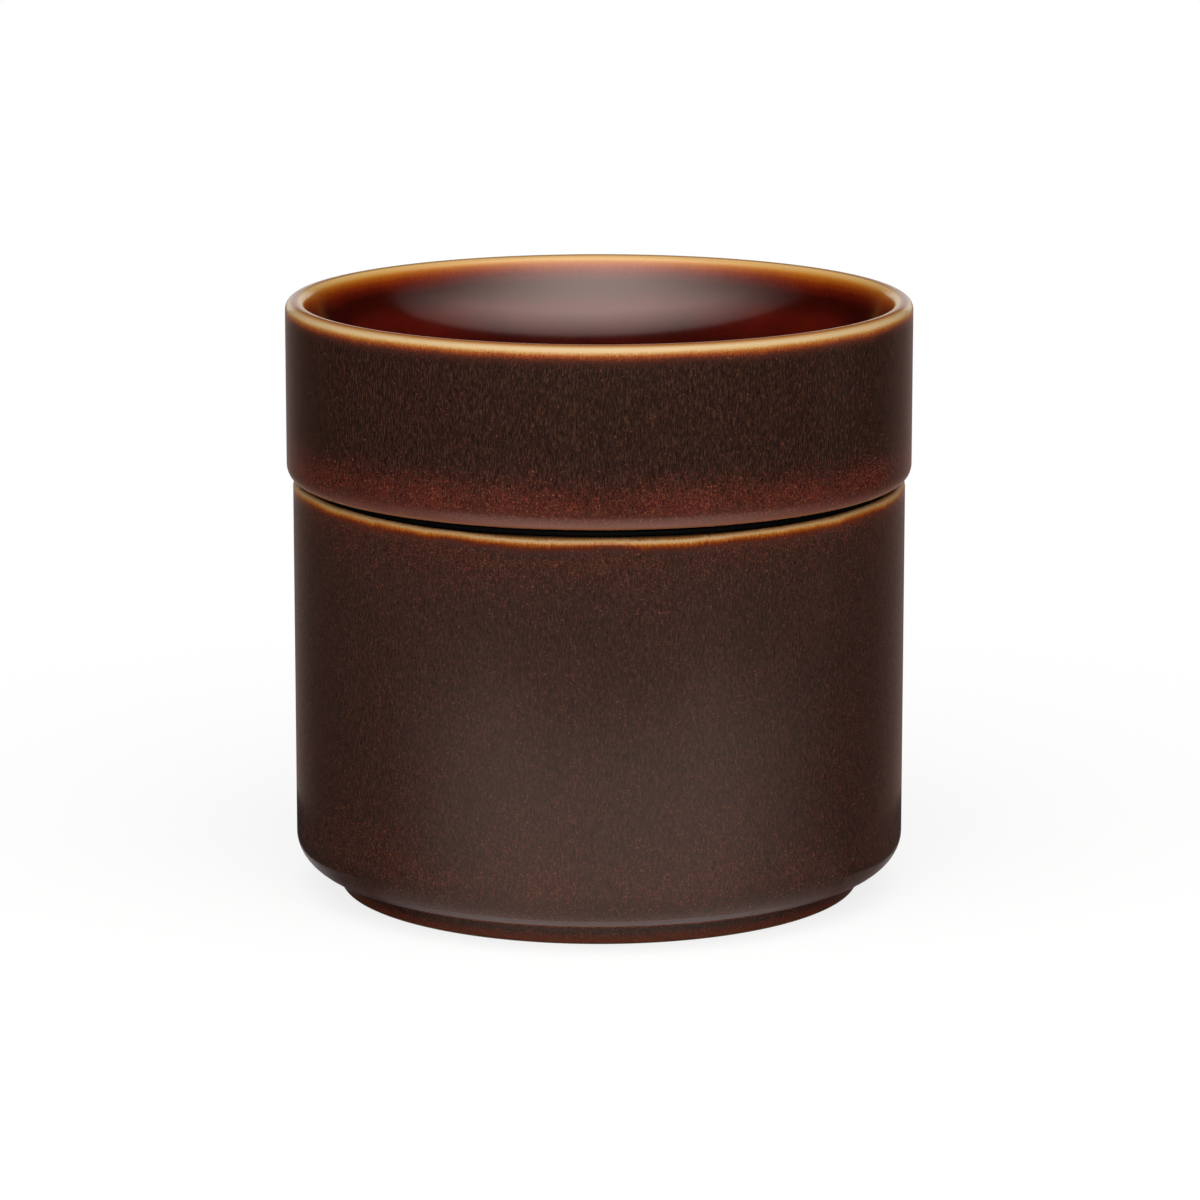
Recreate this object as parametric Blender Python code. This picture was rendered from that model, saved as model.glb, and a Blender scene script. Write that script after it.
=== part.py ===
# Stoneware storage jar with a bowl-shaped lid and a soft seal ring.
# Metres, +Z up. The origin is at the middle of the foot ring, on the surface that the jar stands on.
# Each piece is turned about the Z axis, which is also the axis along which the lid lifts and turns.

import math

import bmesh
import bpy
from mathutils import Vector

# Jar body
JAR_RADIUS = 0.0588
JAR_HEIGHT = 0.0786
JAR_WALL = 0.0038
JAR_RIM_ROUND = 0.0013
JAR_FLOOR = 0.0048
JAR_INNER_CORNER = 0.0075
SHOULDER_WIDTH = 0.0081
SHOULDER_RISE = 0.0068

# Foot ring under the jar
FOOT_HEIGHT = 0.0037
FOOT_STEP = 0.0004
FOOT_WIDTH = 0.0042
FOOT_ROUND = 0.0007
FOOT_RECESS = 0.0026
FOOT_INNER_ROUND = 0.0012

# Lid: a bowl above, a plug ring below
LID_OVERHANG = 0.0012
LID_HEIGHT = 0.0342
LID_WALL = 0.0038
LID_CORNER_RISE = 0.0027
LID_CORNER_WIDTH = 0.0021
BOWL_DEPTH = 0.0280
BOWL_FLOOR = 0.0050
BOWL_LEAN = math.radians(14)
PLUG_WALL = 0.0040
PLUG_ROUND = 0.0009
LIP_HEIGHT = 0.0020
LIP_INSET = 0.0007
RECESS_ROUND = 0.0025

# Seal ring: a flange on the jar's rim, and a sleeve with fins in the groove of the plug ring
FLANGE_THICKNESS = 0.0010
FLANGE_SETBACK = 0.0016
FLANGE_ROUND = 0.0003
SLEEVE_THICKNESS = 0.0014
SLEEVE_LENGTH = 0.0060
FIN_COUNT = 2
FIN_REACH = 0.0015
FIN_ROOT = 0.0009
FIN_TIP = 0.0004

# Room left between two pieces
CLEARANCE = 0.0003

# How finely the round shapes are cut
SEGMENTS = 60
ROUND_STEPS = 4
SMALL_ROUND_STEPS = 2
BOWL_STEPS = 12
RECESS_STEPS = 6
MERGE_DISTANCE = 1e-7
SHARP_ANGLE = math.radians(35)

# Places that follow from the sizes above
mouth_radius = JAR_RADIUS - JAR_WALL
shoulder_radius = JAR_RADIUS - SHOULDER_WIDTH
foot_radius = shoulder_radius - FOOT_STEP
foot_inner_radius = foot_radius - FOOT_WIDTH
jar_floor_height = FOOT_RECESS + JAR_FLOOR

flange_bottom = JAR_HEIGHT + CLEARANCE
flange_top = flange_bottom + FLANGE_THICKNESS
flange_radius = JAR_RADIUS - FLANGE_SETBACK
fin_radius = mouth_radius - CLEARANCE
sleeve_radius = fin_radius - FIN_REACH
sleeve_bore = sleeve_radius - SLEEVE_THICKNESS
sleeve_bottom = flange_bottom - SLEEVE_LENGTH

lid_base = flange_top + CLEARANCE
lid_top = lid_base + LID_HEIGHT
lid_radius = JAR_RADIUS + LID_OVERHANG
lid_rim_round = LID_WALL / 2
bowl_radius = lid_radius - LID_WALL
bowl_brim = lid_top - lid_rim_round

# The bowl is part of an ellipse that meets the round of the rim where both lean by BOWL_LEAN
bowl_edge_radius = lid_radius - lid_rim_round * (1 + math.cos(BOWL_LEAN))
bowl_edge = bowl_brim + lid_rim_round * math.sin(BOWL_LEAN)
bowl_fall = bowl_edge - (lid_top - BOWL_DEPTH)
bowl_lean_share = bowl_fall / bowl_edge_radius * math.tan(BOWL_LEAN)
bowl_start = math.asin(bowl_lean_share / (1 - bowl_lean_share))
bowl_ellipse_radius = bowl_edge_radius / math.cos(bowl_start)
bowl_ellipse_depth = bowl_fall / (1 - math.sin(bowl_start))
bowl_ellipse_centre = lid_top - BOWL_DEPTH + bowl_ellipse_depth

groove_radius = sleeve_bore - CLEARANCE
groove_bottom = sleeve_bottom - CLEARANCE
lip_radius = sleeve_radius - LIP_INSET
plug_bottom = groove_bottom - LIP_HEIGHT
plug_inner_radius = groove_radius - PLUG_WALL


def linear(hex_colour):
    # Turns a colour such as "3A2A20" into the linear values that a shader takes.
    shares = [int(hex_colour[place:place + 2], 16) / 255 for place in (0, 2, 4)]
    return [share / 12.92 if share <= 0.04045 else ((share + 0.055) / 1.055) ** 2.4 for share in shares]


def finish(name, hex_colour, roughness, metallic=0.0):
    material = bpy.data.materials.new(name)
    material.use_nodes = True
    shader = material.node_tree.nodes["Principled BSDF"]
    colour = (*linear(hex_colour), 1.0)
    shader.inputs["Base Color"].default_value = colour
    shader.inputs["Roughness"].default_value = roughness
    shader.inputs["Metallic"].default_value = metallic
    material.diffuse_color = colour
    return material


def sharp(radius, height):
    # A corner of an outline that stays as it is.
    return radius, height, 0.0, 0.0


def round_corner(radius, height, size):
    return radius, height, size, size


def rounded(corners, steps):
    # Each corner is (radius, height, before, after). A quarter ellipse leaves the outline "before" ahead
    # of the corner and meets it again "after" past it.
    points = []
    for place, (radius, height, before, after) in enumerate(corners):
        corner = Vector((radius, height))
        if before == 0.0:
            points.append(corner)
            continue
        last = Vector(corners[place - 1][:2])
        following = Vector(corners[(place + 1) % len(corners)][:2])
        back = (last - corner).normalized() * before
        ahead = (following - corner).normalized() * after
        centre = corner + back + ahead
        for step in range(steps + 1):
            angle = math.pi / 2 * step / steps
            points.append(centre - ahead * math.cos(angle) - back * math.sin(angle))
    return points


def turned(name, outline, base, material, closed):
    # Turns an outline of (radius, height) points about Z. The object's origin is on the axis, at "base".
    shape = bmesh.new()
    ring = [shape.verts.new((point[0], 0.0, point[1] - base)) for point in outline]
    pairs = list(zip(ring, ring[1:]))
    if closed:
        pairs.append((ring[-1], ring[0]))
    for first, second in pairs:
        shape.edges.new((first, second))
    bmesh.ops.remove_doubles(shape, verts=shape.verts, dist=MERGE_DISTANCE)
    bmesh.ops.spin(
        shape,
        geom=shape.verts[:] + shape.edges[:],
        cent=(0.0, 0.0, 0.0),
        axis=(0.0, 0.0, 1.0),
        angle=2 * math.pi,
        steps=SEGMENTS,
        use_merge=True,
    )
    bmesh.ops.remove_doubles(shape, verts=shape.verts, dist=MERGE_DISTANCE)
    bmesh.ops.recalc_face_normals(shape, faces=shape.faces)
    mesh = bpy.data.meshes.new(name)
    shape.to_mesh(mesh)
    shape.free()
    mesh.materials.append(material)
    mesh.shade_smooth()
    mesh.set_sharp_from_angle(angle=SHARP_ANGLE)
    piece = bpy.data.objects.new(name, mesh)
    piece.location.z = base
    bpy.context.scene.collection.objects.link(piece)
    return piece


def make_jar():
    # From the middle of the floor, up the bore, over the rim, down the wall and back under the foot.
    inside = rounded(
        [
            sharp(0.0, jar_floor_height),
            round_corner(mouth_radius, jar_floor_height, JAR_INNER_CORNER),
            sharp(mouth_radius, JAR_HEIGHT - JAR_RIM_ROUND),
        ],
        ROUND_STEPS,
    )
    outside = rounded(
        [
            sharp(mouth_radius, JAR_HEIGHT - JAR_RIM_ROUND),
            round_corner(mouth_radius, JAR_HEIGHT, JAR_RIM_ROUND),
            round_corner(JAR_RADIUS, JAR_HEIGHT, JAR_RIM_ROUND),
            (JAR_RADIUS, FOOT_HEIGHT, SHOULDER_RISE, SHOULDER_WIDTH),
            sharp(foot_radius, FOOT_HEIGHT),
        ],
        ROUND_STEPS,
    )
    foot = rounded(
        [
            sharp(foot_radius, FOOT_HEIGHT),
            round_corner(foot_radius, 0.0, FOOT_ROUND),
            round_corner(foot_inner_radius, 0.0, FOOT_ROUND),
            round_corner(foot_inner_radius, FOOT_RECESS, FOOT_INNER_ROUND),
            sharp(0.0, FOOT_RECESS),
        ],
        SMALL_ROUND_STEPS,
    )
    glaze = finish("dark_brown_glaze", "3F2C24", 0.42)
    return turned("jar_body", inside + outside + foot, 0.0, glaze, closed=False)


def make_seal():
    # Over the flange, down the finned side of the sleeve and up its bore.
    corners = [
        sharp(sleeve_bore, flange_top),
        round_corner(flange_radius, flange_top, FLANGE_ROUND),
        round_corner(flange_radius, flange_bottom, FLANGE_ROUND),
        sharp(sleeve_radius, flange_bottom),
    ]
    for fin in range(FIN_COUNT):
        height = flange_bottom - SLEEVE_LENGTH * (fin + 1) / (FIN_COUNT + 1)
        corners += [
            sharp(sleeve_radius, height + FIN_ROOT / 2),
            sharp(fin_radius, height + FIN_TIP / 2),
            sharp(fin_radius, height - FIN_TIP / 2),
            sharp(sleeve_radius, height - FIN_ROOT / 2),
        ]
    corners += [
        round_corner(sleeve_radius, sleeve_bottom, FLANGE_ROUND),
        sharp(sleeve_bore, sleeve_bottom),
    ]
    rubber = finish("black_silicone", "17130F", 0.6)
    return turned("seal_ring", rounded(corners, SMALL_ROUND_STEPS), flange_bottom, rubber, closed=True)


def ceiling_height(radius):
    # Underside of the bowl, one floor thickness outside it.
    share_out = radius / (bowl_radius + BOWL_FLOOR)
    drop = (BOWL_DEPTH - lid_rim_round + BOWL_FLOOR) * math.sqrt(1 - share_out ** 2)
    return bowl_brim - drop


def make_lid():
    # Up the bowl, over the rim, down the wall, round the plug ring and in under the bowl.
    bowl = []
    for step in range(BOWL_STEPS):
        angle = math.pi / 2 - (math.pi / 2 - bowl_start) * step / BOWL_STEPS
        radius = bowl_ellipse_radius * math.cos(angle)
        bowl.append((radius, bowl_ellipse_centre - bowl_ellipse_depth * math.sin(angle)))
    for step in range(ROUND_STEPS):
        angle = BOWL_LEAN + (math.pi / 2 - BOWL_LEAN) * step / ROUND_STEPS
        radius = lid_radius - lid_rim_round * (1 + math.cos(angle))
        bowl.append((radius, bowl_brim + lid_rim_round * math.sin(angle)))
    wall = rounded(
        [
            sharp(lid_radius - lid_rim_round, lid_top),
            round_corner(lid_radius, lid_top, lid_rim_round),
            (lid_radius, lid_base, LID_CORNER_RISE, LID_CORNER_WIDTH),
            sharp(groove_radius, lid_base),
        ],
        ROUND_STEPS,
    )
    ceiling_radii = [plug_inner_radius * step / RECESS_STEPS for step in reversed(range(RECESS_STEPS))]
    plug = rounded(
        [
            sharp(groove_radius, groove_bottom),
            sharp(lip_radius, groove_bottom),
            round_corner(lip_radius, plug_bottom, PLUG_ROUND),
            round_corner(plug_inner_radius, plug_bottom, PLUG_ROUND),
            round_corner(plug_inner_radius, ceiling_height(plug_inner_radius), RECESS_ROUND),
            *[sharp(radius, ceiling_height(radius)) for radius in ceiling_radii],
        ],
        SMALL_ROUND_STEPS,
    )
    glaze = finish("dark_brown_bowl_glaze", "4A2A1E", 0.35)
    return turned("lid_bowl", bowl + wall + plug, lid_base, glaze, closed=False)


def main():
    for item in list(bpy.data.objects):
        bpy.data.objects.remove(item, do_unlink=True)
    make_jar()
    seal = make_seal()
    lid = make_lid()
    # The seal and the lid hang on one empty on the jar's axis, so that they lift together.
    lift = bpy.data.objects.new("lid_lift_axis", None)
    lift.location.z = JAR_HEIGHT
    bpy.context.scene.collection.objects.link(lift)
    for piece in (seal, lid):
        piece.parent = lift
        piece.location.z -= lift.location.z


main()
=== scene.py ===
import math

import bmesh
import bpy
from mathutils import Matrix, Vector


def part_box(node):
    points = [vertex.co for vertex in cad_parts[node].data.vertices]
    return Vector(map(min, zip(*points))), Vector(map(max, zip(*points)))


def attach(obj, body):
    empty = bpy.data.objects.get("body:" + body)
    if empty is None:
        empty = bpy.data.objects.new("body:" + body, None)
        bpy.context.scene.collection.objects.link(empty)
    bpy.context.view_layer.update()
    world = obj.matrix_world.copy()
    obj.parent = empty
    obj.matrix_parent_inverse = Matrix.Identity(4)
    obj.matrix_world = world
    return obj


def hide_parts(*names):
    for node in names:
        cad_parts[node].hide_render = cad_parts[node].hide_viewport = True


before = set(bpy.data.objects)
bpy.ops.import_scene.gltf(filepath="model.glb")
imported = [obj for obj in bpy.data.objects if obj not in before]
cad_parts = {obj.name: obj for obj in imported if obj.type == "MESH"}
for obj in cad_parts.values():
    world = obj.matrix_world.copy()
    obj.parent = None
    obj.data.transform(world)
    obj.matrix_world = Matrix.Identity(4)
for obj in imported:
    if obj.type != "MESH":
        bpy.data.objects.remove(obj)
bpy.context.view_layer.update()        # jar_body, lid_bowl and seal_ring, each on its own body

mm = 0.001
quarterTurn = math.pi / 2
turnSegments = 192          # sides of every turned shape
pickWithin = 0.02 * mm      # how near to its stated place a point has to lie to be picked
mergeWithin = 0.001 * mm    # points nearer than this become one
capLevel = 0.9              # least part of an end face's normal that has to look up or down
print("frame loaded")


# modelling helpers

def startPiece(name, radius, low, high):
    # a plain cylinder to shape further, left in edit mode
    bpy.ops.object.select_all(action="DESELECT")
    bpy.ops.mesh.primitive_cylinder_add(
        vertices=turnSegments, radius=radius, depth=high - low, location=(0, 0, (low + high) / 2))
    piece = bpy.context.object
    piece.name = name
    bpy.ops.object.transform_apply(location=True, rotation=True, scale=True)
    bpy.ops.object.mode_set(mode="EDIT")
    return piece


def pickCap(piece, up):
    # selects the end face that looks up or down
    bpy.ops.mesh.select_all(action="DESELECT")
    bpy.ops.mesh.select_mode(type="FACE")
    mesh = bmesh.from_edit_mesh(piece.data)
    caps = [face for face in mesh.faces if len(face.verts) == turnSegments and face.normal.z * up > capLevel]
    cap = max(caps, key=lambda face: face.calc_center_median().z * up)
    cap.select_set(True)
    bmesh.update_edit_mesh(piece.data)


def capPlace(piece):
    # (radius, height) of the selected cap
    mesh = bmesh.from_edit_mesh(piece.data)
    corner = next(vert.co for vert in mesh.verts if vert.select)
    return corner.xy.length, corner.z


def extrudeTo(piece, radius, height):
    # carries the selected cap on to another height and radius
    oldRadius, oldHeight = capPlace(piece)
    bpy.ops.mesh.extrude_region_move(TRANSFORM_OT_translate={"value": (0, 0, height - oldHeight)})
    share = radius / oldRadius
    bpy.ops.transform.resize(value=(share, share, 1), center_override=(0, 0, height))


def extrudeCorner(piece, radius, height, width, rise, steps):
    # carries the lower cap round a quarter ellipse: in from that radius by width, and down by rise to that height
    for step in range(1, steps + 1):
        angle = quarterTurn * step / steps
        extrudeTo(piece, radius - width * (1 - math.cos(angle)), height + rise * (1 - math.sin(angle)))


def closeCap():
    # draws the selected cap together on the axis
    bpy.ops.mesh.merge(type="CENTER")


def roundEdge(piece, radius, height, size, segments=8):
    # bevels the ring of edges at that radius and height
    bpy.ops.mesh.select_all(action="DESELECT")
    bpy.ops.mesh.select_mode(type="EDGE")
    mesh = bmesh.from_edit_mesh(piece.data)
    for edge in mesh.edges:
        ends = [(vert.co.xy.length, vert.co.z) for vert in edge.verts]
        edge.select_set(all(abs(r - radius) < pickWithin and abs(z - height) < pickWithin for r, z in ends))
    bmesh.update_edit_mesh(piece.data)
    bpy.ops.mesh.bevel(offset=size, segments=segments, affect="EDGES", clamp_overlap=False)


def pickPoints(piece, chosen):
    # selects, of the points that aren't hidden, those for which chosen(place) holds
    bpy.ops.mesh.select_all(action="DESELECT")
    bpy.ops.mesh.select_mode(type="VERT")
    mesh = bmesh.from_edit_mesh(piece.data)
    for vert in mesh.verts:
        vert.select_set(not vert.hide and chosen(vert.co))
    bmesh.update_edit_mesh(piece.data)


def finishPiece(piece, sharpAngle=50):
    # one clean skin that looks outwards, shaded smooth but for the edges that turn by more than the angle
    bpy.ops.mesh.select_all(action="SELECT")
    bpy.ops.mesh.remove_doubles(threshold=mergeWithin)
    bpy.ops.mesh.normals_make_consistent(inside=False)
    bpy.ops.object.mode_set(mode="OBJECT")
    bpy.ops.object.shade_smooth_by_angle(angle=math.radians(sharpAngle))


def paintFaces(piece, outerMaterial, innerMaterial=None, isInside=None):
    # the inner material goes on the faces for which isInside(radius, height) holds
    piece.data.materials.append(outerMaterial)
    if innerMaterial:
        piece.data.materials.append(innerMaterial)
        for face in piece.data.polygons:
            face.material_index = int(isInside(face.center.xy.length, face.center.z))


# material helpers

def linear(hexColour):
    # sRGB hex to the linear values that a shader takes
    shares = [int(hexColour[place:place + 2], 16) / 255 for place in (0, 2, 4)]
    return [*(s / 12.92 if s <= 0.04045 else ((s + 0.055) / 1.055) ** 2.4 for s in shares), 1]


def addNode(tree, kind, inputs=None, stops=None, gives=0, **settings):
    # one node, its inputs set or linked; a ramp's stops are (place, hex colour or grey, alpha if not 1);
    # hands back the output that gives names, or all of them where gives is None
    node = tree.nodes.new(kind)
    for key, value in settings.items():
        setattr(node, key, value)
    for key, value in (inputs or {}).items():
        if isinstance(value, bpy.types.NodeSocket):
            tree.links.new(value, node.inputs[key])
        else:
            node.inputs[key].default_value = value
    if stops:
        elements = node.color_ramp.elements
        while len(elements) < len(stops):
            elements.new(1)
        for element, (place, colour, *alpha) in zip(elements, stops):
            element.position = place
            element.color = linear(colour) if isinstance(colour, str) else (colour, colour, colour, 1)
            element.alpha = alpha[0] if alpha else 1
    return node.outputs if gives is None else node.outputs[gives]


def glaze(name, look):
    # reactive stoneware glaze, dipped and fired to run: it lies thick and dark on the walls, breaks thin and
    # amber to cream on the edges, and carries short runs down the wall and rust-red crystals where iron gathers
    material = bpy.data.materials.new(name)
    material.use_nodes = True
    tree = material.node_tree
    shader = tree.nodes["Principled BSDF"]
    shader.inputs["IOR"].default_value = look["ior"]
    shader.inputs["Specular IOR Level"].default_value = look["gloss"]
    shader.inputs["Specular Tint"].default_value = linear(look["glossTint"])

    # places in mm: as they are, and round the pot with the height squeezed along the run of the glaze
    place = addNode(tree, "ShaderNodeTexCoord", gives="Object")
    even = addNode(tree, "ShaderNodeVectorMath", {0: place, "Scale": 1 / mm}, operation="SCALE")
    above = addNode(tree, "ShaderNodeSeparateXYZ", {0: even}, gives="Z")
    lift = addNode(tree, "ShaderNodeAttribute", attribute_name="rimLift", gives="Fac")
    height = addNode(tree, "ShaderNodeMath", {0: lift, 1: -1 / mm, 2: above}, operation="MULTIPLY_ADD")
    level = addNode(tree, "ShaderNodeVectorMath", {0: place, 1: (1, 1, 0)}, operation="MULTIPLY")
    outward = addNode(tree, "ShaderNodeVectorMath", {0: level}, operation="NORMALIZE")
    squeezed = addNode(tree, "ShaderNodeVectorMath", {
        0: even, 1: (0, 0, look["runSqueeze"])}, operation="MULTIPLY")
    flowing = addNode(tree, "ShaderNodeVectorMath", {
        0: outward, 1: (lidRadius / mm,) * 3, 2: squeezed}, operation="MULTIPLY_ADD")

    # light runs, dark gaps and the gloss come from one drawn-out noise; then a grain, a cloud and a wide drift
    streaks = addNode(tree, "ShaderNodeTexNoise", {
        "Vector": flowing, "Scale": 1 / look["runWidthMm"], "Detail": 2,
        "Roughness": look["noiseRoughness"]}, gives="Color")
    runs, gaps, gloss = addNode(tree, "ShaderNodeSeparateColor", {0: streaks}, gives=None)
    grain = addNode(tree, "ShaderNodeTexNoise", {
        "Vector": even, "Scale": 1 / look["grainMm"], "Detail": 2, "Roughness": look["noiseRoughness"]})
    cloud = addNode(tree, "ShaderNodeTexNoise", {"Vector": even, "Scale": 1 / look["cloudMm"], "Detail": 3})
    drift = addNode(tree, "ShaderNodeTexNoise", {"Vector": even, "Scale": 1 / look["driftMm"], "Detail": 1})

    # the body of the glaze, with more rust in some bands of its height
    heightShare = addNode(tree, "ShaderNodeMapRange", {0: height, 1: look["bottomMm"], 2: look["topMm"]})
    drifted = addNode(tree, "ShaderNodeMath", {
        0: drift, 1: look["bandDrift"], 2: heightShare}, operation="MULTIPLY_ADD")
    centred = addNode(tree, "ShaderNodeMath", {0: drifted, 1: look["bandDrift"] / 2}, operation="SUBTRACT")
    band = addNode(tree, "ShaderNodeValToRGB", {0: centred}, look["rustBands"])
    patchLow, patchHigh = look["rustPatches"]
    patches = addNode(tree, "ShaderNodeMapRange", {0: cloud, 1: patchLow, 2: patchHigh, 3: look["rustLeast"]})
    rustShare = addNode(tree, "ShaderNodeMath", {0: band, 1: patches}, operation="MULTIPLY")
    oliveTo, brownFrom = look["clouding"]
    clouded = addNode(tree, "ShaderNodeMapRange", {0: cloud, 1: oliveTo, 2: brownFrom})
    body = addNode(tree, "ShaderNodeMix", {
        0: clouded, 6: linear(look["olive"]), 7: linear(look["brown"])}, data_type="RGBA", gives=2)
    body = addNode(tree, "ShaderNodeMix", {
        0: rustShare, 6: body, 7: linear(look["rust"])}, data_type="RGBA", gives=2)
    for pattern, colour in ((runs, "light"), (gaps, "dark"), (grain, "grain")):
        low, high, most = look[colour + "Share"]
        amount = addNode(tree, "ShaderNodeMapRange", {0: pattern, 1: low, 2: high, 4: most})
        body = addNode(tree, "ShaderNodeMix", {
            0: amount, 6: body, 7: linear(look[colour])}, data_type="RGBA", gives=2)

    # the glaze breaks thin at the rim and at the lower edge, and the low ramp also holds painted shade and painted
    # highlights; the boundary is stippled, runs down and wanders
    strays = [look["edgeRunMm"], look["edgeStippleMm"], look["edgeWanderMm"]]
    stir = -sum(strays) / 2
    for pattern, reach in zip((runs, grain, cloud), strays):
        stir = addNode(tree, "ShaderNodeMath", {0: pattern, 1: reach, 2: stir}, operation="MULTIPLY_ADD")
    depth = addNode(tree, "ShaderNodeMath", {0: look["topMm"], 1: height}, operation="SUBTRACT")
    rise = addNode(tree, "ShaderNodeMath", {0: height, 1: look["bottomMm"]}, operation="SUBTRACT")
    thick = 1
    stirFrom, stirFull = look["stirBetween"]
    for distance, edgeMm, edge in ((depth, look["edgeMm"], look["edge"]), (rise, look["lowMm"], look["low"])):
        stirShare = addNode(tree, "ShaderNodeMapRange", {
            0: distance, 1: edgeMm * stirFrom, 2: edgeMm * stirFull, 3: look["edgeFree"]})
        stirred = addNode(tree, "ShaderNodeMath", {0: stir, 1: stirShare, 2: distance}, operation="MULTIPLY_ADD")
        widened = addNode(tree, "ShaderNodeMath", {
            0: lift, 1: look["edgeWiden"] * edgeMm / mm, 2: edgeMm}, operation="MULTIPLY_ADD")
        edgePlace = addNode(tree, "ShaderNodeMapRange", {0: stirred, 1: 0, 2: widened})
        tone, cover = addNode(tree, "ShaderNodeValToRGB", {0: edgePlace}, edge, gives=None)
        body = addNode(tree, "ShaderNodeMix", {0: cover, 6: body, 7: tone}, data_type="RGBA", gives=2)
        bare = addNode(tree, "ShaderNodeMath", {0: 1, 1: cover}, operation="SUBTRACT")
        thick = addNode(tree, "ShaderNodeMath", {0: bare, 1: thick}, operation="MULTIPLY")

    # crystals: each cell may hold a small speck, and more of them do where the rust is
    fullWithin, goneBeyond = look["speckRim"]
    for cellMm, radiusMm, least, most, strongest in look["specks"]:
        cells = addNode(tree, "ShaderNodeTexVoronoi", {"Vector": even, "Scale": 1 / cellMm}, gives=None)
        first, second, third = addNode(tree, "ShaderNodeSeparateColor", {0: cells["Color"]}, gives=None)
        limit = addNode(tree, "ShaderNodeMapRange", {0: rustShare, 3: least, 4: most})
        held = addNode(tree, "ShaderNodeMath", {0: first, 1: limit}, operation="LESS_THAN")
        inside = addNode(tree, "ShaderNodeMapRange", {
            0: cells["Distance"], 1: fullWithin * radiusMm / cellMm, 2: goneBeyond * radiusMm / cellMm,
            3: strongest, 4: 0})
        strength = addNode(tree, "ShaderNodeMapRange", {0: second, 3: look["speckFaintest"]})
        part = addNode(tree, "ShaderNodeMath", {0: held, 1: inside}, operation="MULTIPLY")
        amount = addNode(tree, "ShaderNodeMath", {0: part, 1: strength}, operation="MULTIPLY")
        colour = addNode(tree, "ShaderNodeMix", {
            0: third, 6: linear(look["speckRed"]), 7: linear(look["speckTan"])}, data_type="RGBA", gives=2)
        body = addNode(tree, "ShaderNodeMix", {0: amount, 6: body, 7: colour}, data_type="RGBA", gives=2)
    tree.links.new(body, shader.inputs["Base Color"])

    # satin where crystals have formed on the walls, clear and glossy where the glaze stays glass
    (clearFrom, mattTo), (smoothest, roughest) = look["glossSpread"], look["roughness"]
    satin = addNode(tree, "ShaderNodeMapRange", {0: gloss, 1: clearFrom, 2: mattTo, 3: smoothest, 4: roughest})
    roughness = addNode(tree, "ShaderNodeMix", {0: thick, 2: look["edgeRoughness"], 3: satin})
    tree.links.new(roughness, shader.inputs["Roughness"])
    wave = addNode(tree, "ShaderNodeTexNoise", {"Vector": even, "Scale": 1 / look["waveMm"], "Detail": 1})
    normal = None
    for pattern, depthMm in (
            (wave, look["waveDepthMm"]), (grain, look["grainDepthMm"]), (runs, look["runDepthMm"])):
        heights = {"Height": pattern, "Strength": 1, "Distance": depthMm * mm}
        normal = addNode(tree, "ShaderNodeBump", heights if normal is None else {**heights, "Normal": normal})
    tree.links.new(normal, shader.inputs["Normal"])
    return material


# sizes read from the frame

clearance = 0.3 * mm
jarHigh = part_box("jar_body")[1]
lidLow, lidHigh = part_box("lid_bowl")
sealLow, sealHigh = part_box("seal_ring")
jarRadius = jarHigh.x
jarTop = jarHigh.z
lidRadius = lidHigh.x
lidTop = lidHigh.z
lidBase = sealHigh.z + clearance
plugBottom = lidLow.z


# jar body

jar = {
    "wall": 3.8 * mm, "rimRound": 1.3 * mm, "floorHeight": 7.4 * mm, "innerCorner": 7.5 * mm,
    "shoulderWidth": 8.1 * mm, "shoulderRise": 6.8 * mm, "shoulderSteps": 14,
    "footHeight": 3.7 * mm, "footStep": 0.4 * mm, "footWidth": 4.2 * mm, "footRound": 0.7 * mm,
    "footRecess": 2.6 * mm,
    "rimLiftLeft": 1.15 * mm, "rimLiftRight": 0.95 * mm, "rimLiftReach": 78 * mm,
    "rimLiftInset": 0.15 * mm,     # how far in from the round the warped strip goes
    "rimLiftMargin": 0.05 * mm,    # added round the strip so that its own points are surely picked
    "rimLiftPoint": 0.999,         # cosine of the angle round the jar within which the lift is full
}
mouthRadius = jarRadius - jar["wall"]


def warpRim(piece):
    # in the kiln the rim's outer edge rose a little at the left and the right, so the gap under the lid
    # closes there; the lift is also kept per point, for the glaze to follow
    bottom = jarTop - jar["rimRound"] - jar["rimLiftMargin"]
    inner = jarRadius - jar["rimRound"] - jar["rimLiftMargin"]
    mesh = bmesh.from_edit_mesh(piece.data)
    before = [vert.co.z for vert in mesh.verts]
    pickPoints(piece, lambda place: place.z > bottom and place.xy.length > inner)
    bpy.ops.mesh.hide(unselected=True)
    for side, lift in ((-1, jar["rimLiftLeft"]), (1, jar["rimLiftRight"])):
        pickPoints(piece, lambda place: place.x * side > jar["rimLiftPoint"] * place.xy.length)
        bpy.ops.transform.translate(
            value=(0, 0, lift), use_proportional_edit=True, proportional_edit_falloff="SMOOTH",
            proportional_size=jar["rimLiftReach"])
    bpy.ops.mesh.reveal(select=False)
    mesh = bmesh.from_edit_mesh(piece.data)
    layer = mesh.verts.layers.float.new("rimLift")
    for vert, height in zip(mesh.verts, before):
        vert[layer] = vert.co.z - height
    bmesh.update_edit_mesh(piece.data)


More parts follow.
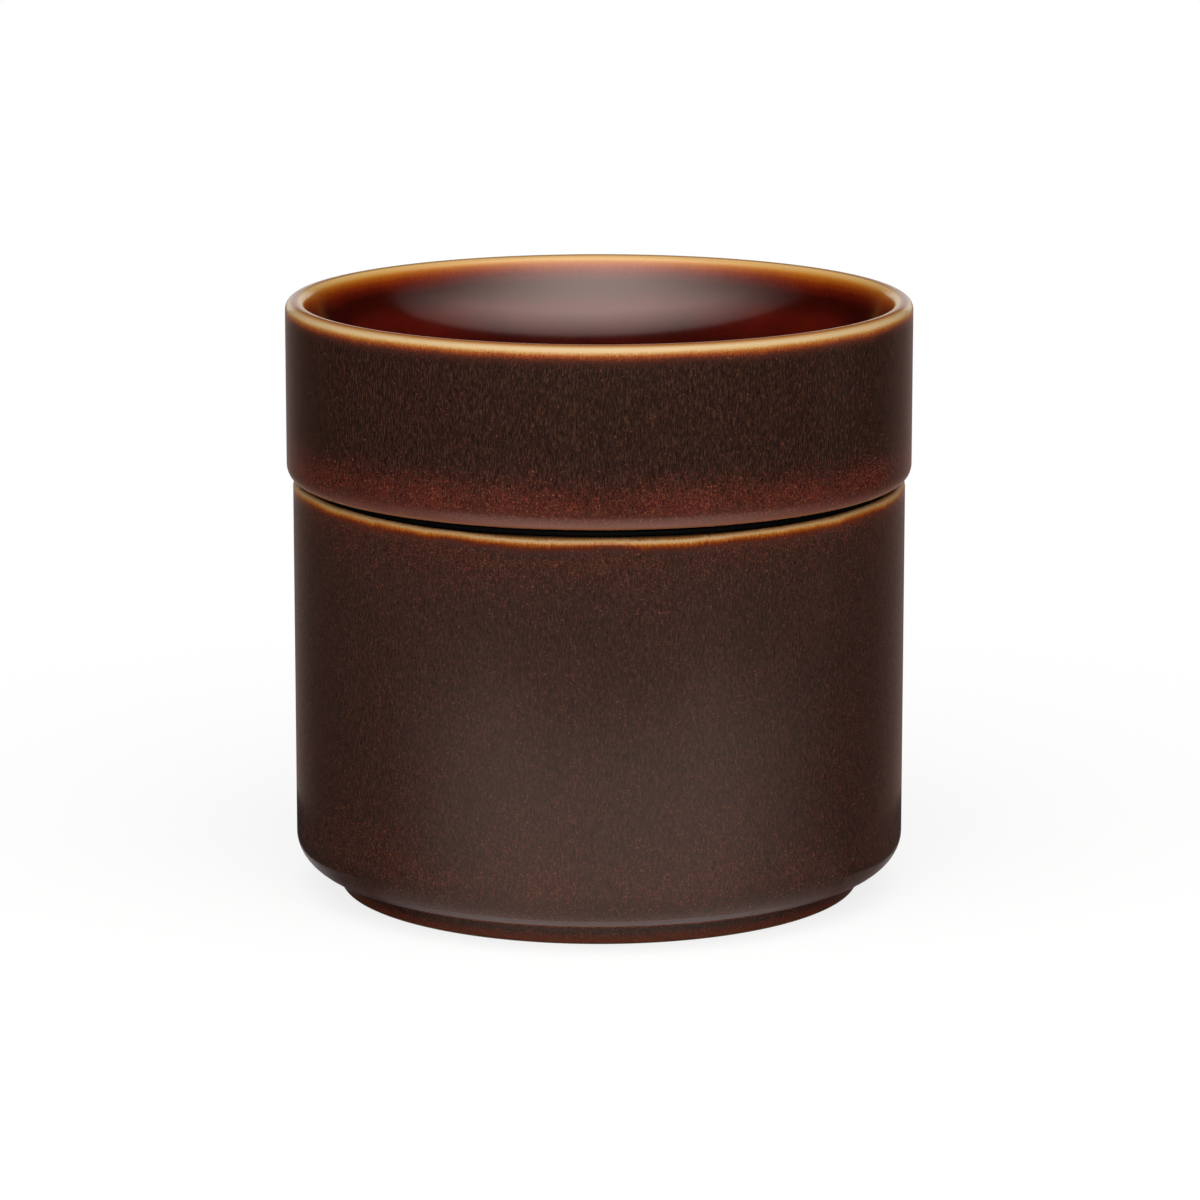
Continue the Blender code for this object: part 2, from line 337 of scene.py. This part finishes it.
def makeJar():
    footRadius = jarRadius - jar["shoulderWidth"] - jar["footStep"]
    piece = startPiece("jarStoneware", jarRadius, jar["footHeight"] + jar["shoulderRise"], jarTop)
    pickCap(piece, up=1)
    extrudeTo(piece, jarRadius - jar["rimRound"] - jar["rimLiftInset"], jarTop)
    extrudeTo(piece, mouthRadius, jarTop)
    extrudeTo(piece, mouthRadius, jar["floorHeight"])
    # the shoulder, as a quarter ellipse, then the foot ring
    pickCap(piece, up=-1)
    extrudeCorner(
        piece, jarRadius, jar["footHeight"], jar["shoulderWidth"], jar["shoulderRise"], jar["shoulderSteps"])
    extrudeTo(piece, footRadius, jar["footHeight"])
    extrudeTo(piece, footRadius, 0)
    extrudeTo(piece, footRadius - jar["footWidth"], 0)
    extrudeTo(piece, footRadius - jar["footWidth"], jar["footRecess"])
    for radius, height, size in (
            (jarRadius, jarTop, jar["rimRound"]), (mouthRadius, jarTop, jar["rimRound"]),
            (mouthRadius, jar["floorHeight"], jar["innerCorner"]),
            (footRadius, 0, jar["footRound"]), (footRadius - jar["footWidth"], 0, jar["footRound"]),
            (footRadius - jar["footWidth"], jar["footRecess"], jar["footRound"])):
        roundEdge(piece, radius, height, size)
    warpRim(piece)
    finishPiece(piece)
    return piece


jarPiece = makeJar()
print("jar modelled", len(jarPiece.data.polygons))


# lid

lid = {
    "wall": 3.8 * mm, "bowlDepth": 28 * mm, "bowlFloor": 5 * mm, "bowlLean": math.radians(14),
    "rimSteps": 18, "bowlSteps": 40, "cornerRise": 2.7 * mm, "cornerWidth": 2.1 * mm, "cornerSteps": 10,
    "grooveRadius": 51.5 * mm, "grooveBottom": 72.6 * mm, "lipRadius": 52.5 * mm, "plugInner": 47.5 * mm,
    "plugRound": 0.9 * mm, "hollowSteps": 24,
}


def makeLid():
    rimRound = lid["wall"] / 2
    bowlRadius = lidRadius - lid["wall"]
    bowlBrim = lidTop - rimRound
    bowlDrop = lid["bowlDepth"] - rimRound
    piece = startPiece("lidStoneware", lidRadius, lidBase + lid["cornerRise"], bowlBrim)
    # over the rim to where the bowl begins to lean inwards
    pickCap(piece, up=1)
    steps = lid["rimSteps"]
    for step in range(1, steps + 1):
        angle = (2 * quarterTurn - lid["bowlLean"]) * step / steps
        extrudeTo(piece, lidRadius - rimRound + rimRound * math.cos(angle), bowlBrim + rimRound * math.sin(angle))
    # down the bowl, along part of an ellipse that meets the rim's round at that lean
    edgeRadius, edgeHeight = capPlace(piece)
    fall = edgeHeight - (lidTop - lid["bowlDepth"])
    leanShare = fall / edgeRadius * math.tan(lid["bowlLean"])
    startAngle = math.asin(leanShare / (1 - leanShare))
    width = edgeRadius / math.cos(startAngle)
    depth = fall / (1 - math.sin(startAngle))
    steps = lid["bowlSteps"]
    for step in range(1, steps):
        angle = startAngle + (quarterTurn - startAngle) * step / steps
        extrudeTo(piece, width * math.cos(angle), edgeHeight + depth * (math.sin(startAngle) - math.sin(angle)))
    closeCap()
    # the lower corner, the plug ring and the hollow under the bowl
    pickCap(piece, up=-1)
    extrudeCorner(piece, lidRadius, lidBase, lid["cornerWidth"], lid["cornerRise"], lid["cornerSteps"])
    extrudeTo(piece, lid["grooveRadius"], lidBase)
    extrudeTo(piece, lid["grooveRadius"], lid["grooveBottom"])
    extrudeTo(piece, lid["lipRadius"], lid["grooveBottom"])
    extrudeTo(piece, lid["lipRadius"], plugBottom)
    extrudeTo(piece, lid["plugInner"], plugBottom)
    ceilingRadius = bowlRadius + lid["bowlFloor"]
    ceilingDrop = bowlDrop + lid["bowlFloor"]
    steps = lid["hollowSteps"]
    for step in range(steps, 0, -1):
        radius = lid["plugInner"] * step / steps
        extrudeTo(piece, radius, bowlBrim - ceilingDrop * math.sqrt(1 - (radius / ceilingRadius) ** 2))
    closeCap()
    roundEdge(piece, lid["lipRadius"], plugBottom, lid["plugRound"])
    roundEdge(piece, lid["plugInner"], plugBottom, lid["plugRound"])
    finishPiece(piece)
    return piece


lidPiece = makeLid()
print("lid modelled", len(lidPiece.data.polygons))


# seal ring

seal = {
    "sleeveRadius": 53.2 * mm, "sleeveBore": 51.8 * mm, "finRadius": mouthRadius - clearance,
    "flangeThickness": 1.0 * mm, "flangeRound": 0.3 * mm, "roundSegments": 4,
    "finCount": 2, "finRoot": 0.9 * mm, "finTip": 0.4 * mm, "sharpAngle": 30,
}


def makeSeal():
    flangeTop = sealHigh.z
    flangeBottom = flangeTop - seal["flangeThickness"]
    sleeveLength = flangeBottom - sealLow.z
    piece = startPiece("sealSilicone", sealHigh.x, flangeBottom, flangeTop)
    pickCap(piece, up=1)
    extrudeTo(piece, seal["sleeveBore"], flangeTop)
    extrudeTo(piece, seal["sleeveBore"], sealLow.z)
    bpy.ops.mesh.delete(type="FACE")
    pickCap(piece, up=-1)
    extrudeTo(piece, seal["sleeveRadius"], flangeBottom)
    for fin in range(seal["finCount"]):
        middle = flangeBottom - sleeveLength * (fin + 1) / (seal["finCount"] + 1)
        for radius, offset in (
                (seal["sleeveRadius"], seal["finRoot"]), (seal["finRadius"], seal["finTip"]),
                (seal["finRadius"], -seal["finTip"]), (seal["sleeveRadius"], -seal["finRoot"])):
            extrudeTo(piece, radius, middle + offset / 2)
    extrudeTo(piece, seal["sleeveRadius"], sealLow.z)
    extrudeTo(piece, seal["sleeveBore"], sealLow.z)
    bpy.ops.mesh.delete(type="FACE")
    for height in (flangeTop, flangeBottom):
        roundEdge(piece, sealHigh.x, height, seal["flangeRound"], seal["roundSegments"])
    finishPiece(piece, seal["sharpAngle"])
    return piece


sealPiece = makeSeal()
print("seal modelled", len(sealPiece.data.polygons))


# looks

# Sizes are in real mm. A pixel of the picture is 0.19 mm on the jar, and the real runs and crystals are in part
# finer, so the finest are drawn coarser than they are: runs 0.27 mm wide and crystals 0.3 to 0.42 mm across.
# The ramp rustBands runs up the wall; edge runs down from the rim and low up from the lower edge, each over its mm
# and with a third value where the body shows through. A kind of speck is its cell and its radius in mm, the share
# of cells that hold one at the least and at the most rust, and how strong it shows.
wallLook = {
    "ior": 1.45, "gloss": 0.45, "glossTint": "FFE7D6",
    "runSqueeze": 0.22, "runWidthMm": 0.27, "cloudMm": 14, "driftMm": 40, "grainMm": 0.3, "noiseRoughness": 0.6,
    "olive": "24160F", "brown": "261511", "clouding": (0.35, 0.65),
    "rust": "441712", "rustLeast": 0.5, "rustPatches": (0.34, 0.6), "bandDrift": 0.12,
    "light": "4C3024", "lightShare": (0.48, 0.68, 0.65), "dark": "0E0704", "darkShare": (0.5, 0.66, 0.65),
    "grain": "0E0704", "grainShare": (0.45, 0.7, 0.45),
    "speckRed": "85301E", "speckTan": "9A5238",
    "specks": ((0.3, 0.15, 0, 0.9, 0.45), (0.6, 0.21, 0, 0.22, 0.55)),
    "speckRim": (0.4, 1.2),    # shares of the radius where a speck begins to fade and has gone
    "speckFaintest": 0.25,
    "edgeMm": 4.6, "edgeRunMm": 0.9, "edgeStippleMm": 1.8, "edgeWanderMm": 1.2,
    "edgeFree": 0,                # how far the strays act on the very edge
    "stirBetween": (0.06, 0.6),   # shares of the edge's width where the strays set in and are full
    "edgeWiden": 0.5,             # share by which the edge is wider per mm of the rim's lift
    "roughness": (0.17, 0.24), "glossSpread": (0.3, 0.7), "edgeRoughness": 0.16,
    "waveMm": 9, "waveDepthMm": 0.015, "grainDepthMm": 0.002, "runDepthMm": 0.004,
}
lidWallLook = dict(
    wallLook, bottomMm=lidBase / mm, topMm=lidTop / mm,
    rustBands=[(0, 0.3), (0.06, 0.55), (0.12, 1), (0.17, 0.9), (0.24, 0.4), (0.32, 0.08), (0.4, 0.03), (1, 0.03)],
    edge=[(0, "82491E"), (0.03, "8E5A2A"), (0.075, "A68458"), (0.14, "B49870"), (0.23, "B4976C"), (0.3, "A27338"),
          (0.38, "8A4A1E"), (0.46, "743418"), (0.54, "582818", 0.8), (0.64, "4A2218", 0.5), (0.78, "3A1E16", 0.25),
          (1, "321C14", 0)],
    # low is lighter and warmer at the lower corner: partly the glaze breaking thin, partly a painted highlight of
    # the table's reflection
    lowMm=4.5, low=[(0, "7E4C2C"), (0.12, "6E4638"), (0.3, "5C3830", 0.85), (0.5, "4E2C26", 0.6),
                    (0.7, "42241E", 0.3), (1, "3A241D", 0)])
jarWallLook = dict(
    wallLook, bottomMm=0, topMm=jarTop / mm, roughness=(0.2, 0.28),
    olive="2B1C17", brown="2E1D18", light="4C3129", lightShare=(0.46, 0.68, 0.45), darkShare=(0.48, 0.68, 0.5),
    grainShare=(0.45, 0.7, 0.35), speckRed="7A3020", speckTan="8A5034",
    rust="32170F", specks=((0.3, 0.15, 0.02, 1, 0.42), (0.55, 0.2, 0.005, 0.35, 0.45)),
    rustBands=[(0, 0.95), (0.06, 0.7), (0.11, 0.4), (0.16, 0.5), (0.3, 0.2), (0.5, 0.1), (0.8, 0.1), (0.88, 0.22),
               (0.94, 0.5), (0.965, 0.75), (0.98, 0.3), (1, 0.1)],
    edgeMm=3.2, edgeWiden=0.12, edgeRunMm=1.2, edgeStippleMm=0.8, edgeWanderMm=2, edgeFree=0.6,
    edge=[(0, "6E4624"), (0.06, "8A6842"), (0.14, "9C8058"), (0.21, "986C38"), (0.28, "8A5018"), (0.37, "70320A"),
          (0.48, "541E0A", 0.9), (0.64, "441E16", 0.55), (0.82, "42241E", 0.2), (1, "442822", 0)],
    # low: the very dark band at the top of the foot is painted shade under the shoulder; the light band at the
    # shoulder's lower edge is partly the glaze breaking thin and partly a painted highlight of the table's
    # reflection
    lowMm=12, low=[(0, "24120A"), (0.04, "4E200C"), (0.15, "3A140A"), (0.19, "1E0805"), (0.305, "1E0805"),
                   (0.32, "8E4A2C"), (0.38, "7A3C22"), (0.44, "542818"), (0.5, "3E1C12", 0.8),
                   (0.6, "281410", 0.6), (0.8, "221510", 0.5), (1, "221510", 0)])
bowlLook = dict(
    wallLook, ior=1.82, gloss=0.5, glossTint="FFEADF", bottomMm=86, topMm=lidTop / mm,
    olive="200403", brown="260503", rust="541108",
    light="3C0E08", lightShare=(0.5, 0.7, 0.3), dark="1A0202", darkShare=(0.5, 0.7, 0.25),
    grain="1A0202", grainShare=(0.45, 0.7, 0.35), bandDrift=0.1,
    speckRed="5A2010", speckTan="6A3418", specks=((0.5, 0.2, 0.02, 0.2, 0.3),),
    roughness=(0.06, 0.11), edgeRoughness=0.2, waveDepthMm=0.012, grainDepthMm=0.0025, runDepthMm=0.001,
    rustBands=[(0, 0.2), (0.46, 0.35), (0.56, 0.85), (0.66, 1), (0.73, 0.6), (0.8, 0.1), (1, 0)],
    edgeMm=8.6, edgeRunMm=2.2, edgeStippleMm=0.9, edgeWanderMm=2.4,
    edge=[(0, "8A6238"), (0.03, "C8A068"), (0.08, "C09250"), (0.13, "B67428"), (0.19, "A0520E"), (0.28, "7E2C04"),
          (0.4, "581204", 0.95), (0.58, "340601", 0.8), (1, "200301", 0.2)],
    lowMm=1, low=[(0, "260402", 0), (1, "260402", 0)])
insideLook = dict(bowlLook, bottomMm=0, topMm=jarTop / mm)

lidWallGlaze = glaze("satinBrownGlazeLid", lidWallLook)
jarWallGlaze = glaze("satinBrownGlazeJar", jarWallLook)
bowlGlaze = glaze("glossRedBrownGlazeBowl", bowlLook)
insideGlaze = glaze("glossRedBrownGlazeInside", insideLook)


siliconeLook = {
    "ior": 1.41, "gloss": 0.12, "grain": 0.2 * mm, "tones": [(0.3, "020202"), (0.7, "050404")],
    "roughness": (0.6, 0.8), "grainDepth": 0.01 * mm,
}


def silicone(name):
    # moulded silicone rubber: matt, near black, a faint grain from the mould
    material = bpy.data.materials.new(name)
    material.use_nodes = True
    tree = material.node_tree
    shader = tree.nodes["Principled BSDF"]
    shader.inputs["IOR"].default_value = siliconeLook["ior"]
    shader.inputs["Specular IOR Level"].default_value = siliconeLook["gloss"]
    place = addNode(tree, "ShaderNodeTexCoord", gives="Object")
    grain = addNode(tree, "ShaderNodeTexNoise", {"Vector": place, "Scale": 1 / siliconeLook["grain"], "Detail": 2})
    tone = addNode(tree, "ShaderNodeValToRGB", {0: grain}, siliconeLook["tones"])
    tree.links.new(tone, shader.inputs["Base Color"])
    smoothest, roughest = siliconeLook["roughness"]
    rough = addNode(tree, "ShaderNodeMapRange", {0: grain, 3: smoothest, 4: roughest})
    tree.links.new(rough, shader.inputs["Roughness"])
    bump = addNode(tree, "ShaderNodeBump", {"Height": grain, "Distance": siliconeLook["grainDepth"]})
    tree.links.new(bump, shader.inputs["Normal"])
    return material


sealRubber = silicone("mouldedSiliconeBlack")

# heights above which the inner glaze lies: over the foot's step, over the lid's base near the bowl's wall,
# and over the lid's base within the radius of the bowl's middle
innerGlaze = {"inJar": 1 * mm, "byBowlWall": 14 * mm, "inBowlMiddle": 5 * mm, "bowlMiddle": 40 * mm}


def insideJar(radius, height):
    return radius < jarRadius - jar["wall"] / 2 and height > jar["footHeight"] + innerGlaze["inJar"]


def insideBowl(radius, height):
    overBase = height - lidBase
    return (radius < lidRadius - lid["wall"] / 2 and overBase > innerGlaze["byBowlWall"]
            or radius < innerGlaze["bowlMiddle"] and overBase > innerGlaze["inBowlMiddle"])


paintFaces(jarPiece, jarWallGlaze, insideGlaze, insideJar)
paintFaces(lidPiece, lidWallGlaze, bowlGlaze, insideBowl)
paintFaces(sealPiece, sealRubber)
print("materials made")

for piece, body, node, slot in (
        (jarPiece, "jar", "jar_body", "jar_glaze"),
        (lidPiece, "lid", "lid_bowl", "lid_glaze"),
        (sealPiece, "seal", "seal_ring", "seal_rubber")):
    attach(piece, body)
    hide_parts(node)


# studio: a white table and one wide tilted scrim above and in front; for the reflections alone, painted
# reflections:
# black flags in front, dim glowing cards on the table, a glowing pale backdrop behind, a ring of glowing graded
# tones round the jar and a dark room

studio = {
    "boardColour": "F6F5F3", "boardReach": 12, "boardRoughness": 0.9, "boardGloss": 0.2,
    # how far the board shows plain white by the jar, to the camera and in reflections; all of it does further
    # out, and the change lies between these distances
    "whiteNear": 0.81, "whiteMirrored": 0.08, "whiteFrom": 0.09, "whiteBy": 0.27,
    "fill": 0.27,    # light from the surround
    # the scrim's back and front edges as (y, z); as seen from the jar's rim it fades towards the back down to
    # the share scrimEdge, and there it ends in a soft line that leans to one side and bows
    "scrimRadiance": 2.8, "scrimBack": (0.75, 1.93), "scrimFront": (-1.75, 0.2), "scrimHalfWidth": 3.4,
    "scrimFadeFrom": -0.125, "scrimFadeBy": 0.22, "scrimEdge": 0.18, "scrimEdgeSoft": 0.012,
    "scrimLean": 0.09, "scrimBow": 0.17, "scrimPower": 1.8,
    "roomRadius": 4.5, "roomHeight": 4, "roomSegments": 48,
    "roomSink": 0.01,    # how far the room's own floor lies under the board
    "flockGrey": 0.004, "cardLift": 0.2 * mm,
}
# cards as (x, y) from, (x, y) to, height or 0 where they lie on the table, and how far they glow; the glow is
# painted reflection light and the black ones are painted dark reflections, seen only in the glaze
cards = {
    "flagFront": ((-0.2, -0.26), (0.2, -0.26), 0.13, 0),
    "flagFrontLeft": ((-0.3, -0.05), (-0.2, -0.26), 0.13, 0),
    "flagFrontRight": ((0.2, -0.26), (0.3, -0.05), 0.13, 0),
    "tableLeft": ((-0.6, -0.05), (-0.065, 0.6), 0, 0.03),
    "tableRight": ((0.065, -0.03), (0.6, 0.6), 0, 0.05),
    "tableBack": ((-0.065, 0.06), (0.065, 0.6), 0, 0.6),
    "backdrop": ((-0.55, 1.2), (0.55, 1.2), 0.4, 0.8),
}
# a ring round the jar and a round one on the table inside it, both painted reflections: graded light and dark
# tones that glow in the glaze's reflections only; their tones are by degrees from the front, less than 0 at the
# left, with colour and cover
ring = {
    "radius": 0.1, "height": 0.112, "tableLift": 0.3 * mm, "segments": 96,
    "tones": [(-180, "988880"), (-130, "93827A"), (-122, "7F6D65"), (-111, "63534C"), (-103, "473C37"),
              (-92, "282120"), (-75, "15110F"), (-62, "15110F", 0.97), (-50, "1A1513", 0.75),
              (-40, "1E1917", 0.35), (-25, "1E1917", 0), (30, "2A2422", 0), (62, "2A2422", 0.88),
              (82, "1E1715"), (94, "3A302C"), (103, "62514A"), (111, "755F58"), (118, "846E66"),
              (130, "968078"), (180, "A09088")],
    "tableTones": [(-180, "2A2422", 0.3), (-100, "2A2422", 0.3), (-82, "2A2422", 0.6), (-68, "2A2422", 0.9),
                   (-55, "2A2422", 0.9), (-45, "2A2422", 0.6), (-32, "2A2422", 0.25), (-20, "2A2422", 0),
                   (20, "2A2422", 0), (32, "302320", 0.2), (45, "362420", 0.55), (60, "3A2622", 0.85),
                   (80, "4A322C", 0.8), (95, "5A423A", 0.6), (180, "5A423A", 0.4)],
}


def whiteShare(tree, share, mirroredShare):
    # how far a surface shows plain white: to the camera and in reflections only, not to the light it sends on
    path = addNode(tree, "ShaderNodeLightPath", gives=None)
    mirrored = addNode(tree, "ShaderNodeMath", {
        0: path["Is Glossy Ray"], 1: path["Is Transmission Ray"]}, operation="MAXIMUM")
    reflected = addNode(tree, "ShaderNodeMath", {0: mirrored, 1: mirroredShare}, operation="MULTIPLY")
    return addNode(tree, "ShaderNodeMath", {
        0: path["Is Camera Ray"], 1: share, 2: reflected}, operation="MULTIPLY_ADD")


def makeFloor():
    # matt white board: it takes the jar's shadow and light, and goes over to plain white further out
    bpy.ops.object.select_all(action="DESELECT")
    bpy.ops.mesh.primitive_plane_add(size=2 * studio["boardReach"], location=(0, 0, 0))
    floor = bpy.context.object
    floor.name = "floor"
    material = bpy.data.materials.new("mattWhiteBoard")
    material.use_nodes = True
    tree = material.node_tree
    shader = tree.nodes["Principled BSDF"]
    shader.inputs["Base Color"].default_value = linear(studio["boardColour"])
    shader.inputs["Roughness"].default_value = studio["boardRoughness"]
    shader.inputs["Specular IOR Level"].default_value = studio["boardGloss"]
    place = addNode(tree, "ShaderNodeTexCoord", gives="Object")
    far = addNode(tree, "ShaderNodeVectorMath", {0: place}, operation="LENGTH", gives="Value")
    share, mirroredShare = [addNode(tree, "ShaderNodeMapRange", {
        0: far, 1: studio["whiteFrom"], 2: studio["whiteBy"], 3: studio[near]}, interpolation_type="SMOOTHSTEP")
        for near in ("whiteNear", "whiteMirrored")]
    white = addNode(tree, "ShaderNodeEmission", {"Color": (1, 1, 1, 1), "Strength": 1})
    mixed = addNode(tree, "ShaderNodeMixShader", {
        0: whiteShare(tree, share, mirroredShare), 1: shader.outputs[0], 2: white})
    tree.links.new(mixed, tree.nodes["Material Output"].inputs["Surface"])
    floor.data.materials.append(material)
    return floor


def makeWorld():
    # an even white surround, plain white to the camera and in reflections, and a weak fill as light
    world = bpy.context.scene.world or bpy.data.worlds.new("studio")
    bpy.context.scene.world = world
    world.use_nodes = True
    tree = world.node_tree
    background = tree.nodes["Background"]
    strength = addNode(tree, "ShaderNodeMapRange", {0: whiteShare(tree, 1, 1), 3: studio["fill"], 4: 1})
    background.inputs["Color"].default_value = (1, 1, 1, 1)
    tree.links.new(strength, background.inputs["Strength"])


def flockAndReflectionGlow(name, glow, tones):
    # flocked card that throws no light back; its own glow, even or graded round the jar where it has tones, is
    # painted reflection light
    material = bpy.data.materials.new(name + "Flock")
    material.use_nodes = True
    tree = material.node_tree
    shader = tree.nodes["Principled BSDF"]
    grey = studio["flockGrey"]
    shader.inputs["Base Color"].default_value = (grey, grey, grey, 1)
    shader.inputs["Roughness"].default_value = 1
    shader.inputs["Specular IOR Level"].default_value = 0
    shader.inputs["Emission Color"].default_value = (1, 1, 1, 1)
    shader.inputs["Emission Strength"].default_value = glow
    if tones:
        place = addNode(tree, "ShaderNodeTexCoord", gives="Object")
        bearing = addNode(tree, "ShaderNodeTexGradient", {0: place}, gradient_type="RADIAL", gives="Fac")
        stops = [((degrees + 180) / 360, *rest) for degrees, *rest in tones]
        tone, cover = addNode(tree, "ShaderNodeValToRGB", {0: bearing}, stops, gives=None)
        tree.links.new(tone, shader.inputs["Emission Color"])
        tree.links.new(cover, shader.inputs["Alpha"])
    return material


def makeCards():
    # the cards and the dark room are painted reflections: they show in reflections only, and take no light from
    # the table
    pieces = []
    for name, ((x0, y0), (x1, y1), height, glow) in cards.items():
        middle = ((x0 + x1) / 2, (y0 + y1) / 2, height / 2 or studio["cardLift"])
        turn = (quarterTurn, 0, math.atan2(y1 - y0, x1 - x0)) if height else (0, 0, 0)
        bpy.ops.mesh.primitive_plane_add(size=1, location=middle, rotation=turn)
        card = bpy.context.object
        card.scale = (math.hypot(x1 - x0, y1 - y0), height, 1) if height else (x1 - x0, y1 - y0, 1)
        pieces.append((card, name, glow, None))
    bpy.ops.mesh.primitive_cylinder_add(
        vertices=studio["roomSegments"], radius=studio["roomRadius"], depth=studio["roomHeight"],
        location=(0, 0, studio["roomHeight"] / 2 - studio["roomSink"]))
    pieces.append((bpy.context.object, "darkRoom", 0, None))
    bpy.ops.mesh.primitive_cylinder_add(
        vertices=ring["segments"], radius=ring["radius"], depth=ring["height"], end_fill_type="NOTHING",
        location=(0, 0, ring["height"] / 2), rotation=(0, 0, -quarterTurn))
    pieces.append((bpy.context.object, "reflectionGlowRing", 1, ring["tones"]))
    bpy.ops.mesh.primitive_circle_add(
        vertices=ring["segments"], radius=ring["radius"], fill_type="NGON",
        location=(0, 0, ring["tableLift"]), rotation=(0, 0, -quarterTurn))
    pieces.append((bpy.context.object, "reflectionGlowRound", 1, ring["tableTones"]))
    for piece, name, glow, tones in pieces:
        piece.name = name
        piece.data.materials.append(flockAndReflectionGlow(name, glow, tones))
        for ray in ("camera", "diffuse", "transmission", "volume_scatter", "shadow"):
            setattr(piece, "visible_" + ray, False)
    return [piece for piece, *rest in pieces]


def makeScrim():
    # brightest straight in front and dimmer to the sides; over the jar it dims towards its bowed back edge
    (backY, backZ), (frontY, frontZ) = studio["scrimBack"], studio["scrimFront"]
    length = math.hypot(backY - frontY, backZ - frontZ)
    width = 2 * studio["scrimHalfWidth"]
    bpy.ops.object.light_add(
        type="AREA", location=(0, (backY + frontY) / 2, (backZ + frontZ) / 2),
        rotation=(math.atan2(backZ - frontZ, backY - frontY), 0, 0))
    scrim = bpy.context.object
    scrim.name = "scrim"
    scrim.data.shape = "RECTANGLE"
    scrim.data.size = width
    scrim.data.size_y = length
    scrim.data.energy = studio["scrimRadiance"] * math.pi * width * length
    scrim.visible_camera = False
    scrim.data.use_nodes = True
    tree = scrim.data.node_tree
    point = addNode(tree, "ShaderNodeNewGeometry", gives="Position")
    fromJar = addNode(tree, "ShaderNodeVectorMath", {0: point, 1: (0, 0, jarTop)}, operation="SUBTRACT")
    toward = addNode(tree, "ShaderNodeVectorMath", {0: fromJar}, operation="NORMALIZE")
    parts = addNode(tree, "ShaderNodeSeparateXYZ", {0: toward}, gives=None)
    aside = addNode(tree, "ShaderNodeMath", {0: parts["X"], 1: parts["X"]}, operation="MULTIPLY")
    across = addNode(tree, "ShaderNodeMath", {0: 1, 1: aside}, operation="SUBTRACT")
    central = addNode(tree, "ShaderNodeMath", {0: across, 1: studio["scrimPower"]}, operation="POWER")
    forward = addNode(tree, "ShaderNodeMath", {0: 0, 1: parts["Y"]}, operation="SUBTRACT")
    leaned = addNode(tree, "ShaderNodeMath", {
        0: parts["X"], 1: studio["scrimLean"], 2: forward}, operation="MULTIPLY_ADD")
    front = addNode(tree, "ShaderNodeMath", {0: aside, 1: studio["scrimBow"], 2: leaned}, operation="MULTIPLY_ADD")
    fade = addNode(tree, "ShaderNodeMapRange", {
        0: front, 1: studio["scrimFadeFrom"], 2: studio["scrimFadeBy"], 3: studio["scrimEdge"]})
    inside = addNode(tree, "ShaderNodeMapRange", {
        0: front, 1: studio["scrimFadeFrom"] - studio["scrimEdgeSoft"],
        2: studio["scrimFadeFrom"] + studio["scrimEdgeSoft"]})
    faded = addNode(tree, "ShaderNodeMath", {0: inside, 1: fade}, operation="MULTIPLY")
    glow = addNode(tree, "ShaderNodeMath", {0: central, 1: faded}, operation="MULTIPLY")
    emission = tree.nodes["Emission"]
    tree.links.new(glow, emission.inputs["Strength"])


makeFloor()
makeCards()
makeWorld()
makeScrim()

cameraView = {
    "distance": 1.0421, "height": 0.2706, "pitchDown": 11.675, "focalPixels": 5505, "shiftPixels": 0.87,
    "framePixels": 1200, "sensorMm": 36, "clipStart": 0.01,
}
bpy.ops.object.camera_add(
    location=(0, -cameraView["distance"], cameraView["height"]),
    rotation=(quarterTurn - math.radians(cameraView["pitchDown"]), 0, 0))
camera = bpy.context.object
camera.data.sensor_width = cameraView["sensorMm"]
camera.data.lens = cameraView["sensorMm"] * cameraView["focalPixels"] / cameraView["framePixels"]
camera.data.shift_x = cameraView["shiftPixels"] / cameraView["framePixels"]
camera.data.clip_start = cameraView["clipStart"]
bpy.context.scene.camera = camera
bpy.context.scene.view_settings.view_transform = "Standard"
print("studio and camera set")
